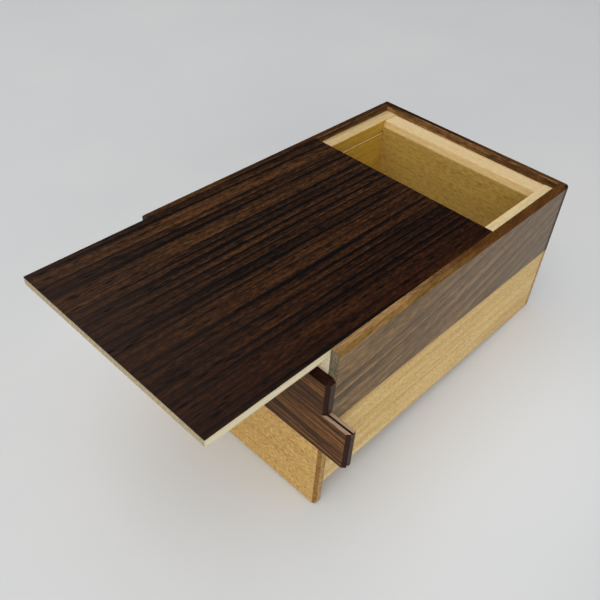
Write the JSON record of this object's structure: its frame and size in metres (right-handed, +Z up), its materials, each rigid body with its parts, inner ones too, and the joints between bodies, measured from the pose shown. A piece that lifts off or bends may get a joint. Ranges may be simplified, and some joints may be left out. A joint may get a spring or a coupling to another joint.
{
  "type": "wooden puzzle box",
  "caption": "Rectangular sliding-panel puzzle box in two-tone wood, shown open: the end panel is dropped, its key strip is slid aside and the flush lid is drawn part way out.",
  "frame": {"origin": "centre of the underside of the box's bottom board", "axes": "+X along the length towards the fixed far end, so the lid and the end panel open at -X; +Z up, square to the bottom board; the visible long side faces -Y"},
  "size_m": [0.1999, 0.1118, 0.0807],
  "materials": {
    "walnut": "oiled, satin",
    "pale_wood": "oiled, satin",
    "frame_wood": "sanded, matt",
    "lid_wood": "sanded, matt",
    "rosewood": "wiped oil, satin"
  },
  "bodies": {
    "box": {"right_upper_board": "walnut", "right_lower_board": "pale_wood", "left_upper_board": "walnut", "left_lower_board": "pale_wood", "far_upper_board": "walnut", "far_lower_board": "pale_wood", "bottom_board": "pale_wood", "right_inner_wall": "frame_wood", "left_inner_wall": "frame_wood", "far_inner_wall": "frame_wood", "far_rail": "frame_wood", "near_inner_wall": "frame_wood", "inner_floor": "frame_wood", "stop_peg": "frame_wood"},
    "end_panel": {"end_upper_strip": "walnut", "end_lower_board": "pale_wood", "end_carrier": "frame_wood"},
    "key": {"key_strip": "walnut", "key_block": "frame_wood"},
    "lid": {"lid_veneer": "rosewood", "lid_core": "lid_wood", "lid_right_runner": "lid_wood", "lid_left_runner": "lid_wood", "lid_end_batten": "lid_wood"}
  },
  "joints": [
    {"name": "lid_slide", "type": "slide", "parent": "box", "child": "lid", "axis": [-1, 0, 0], "range_m": [-0.0516, 0.0744]},
    {"name": "end_panel_lift", "type": "slide", "parent": "box", "child": "end_panel", "axis": [0, 0, 1], "range_m": [0, 0.0016]},
    {"name": "key_strip_slide", "type": "slide", "parent": "end_panel", "child": "key", "axis": [0, -1, 0], "range_m": [-0.0108, 0]}
  ]
}
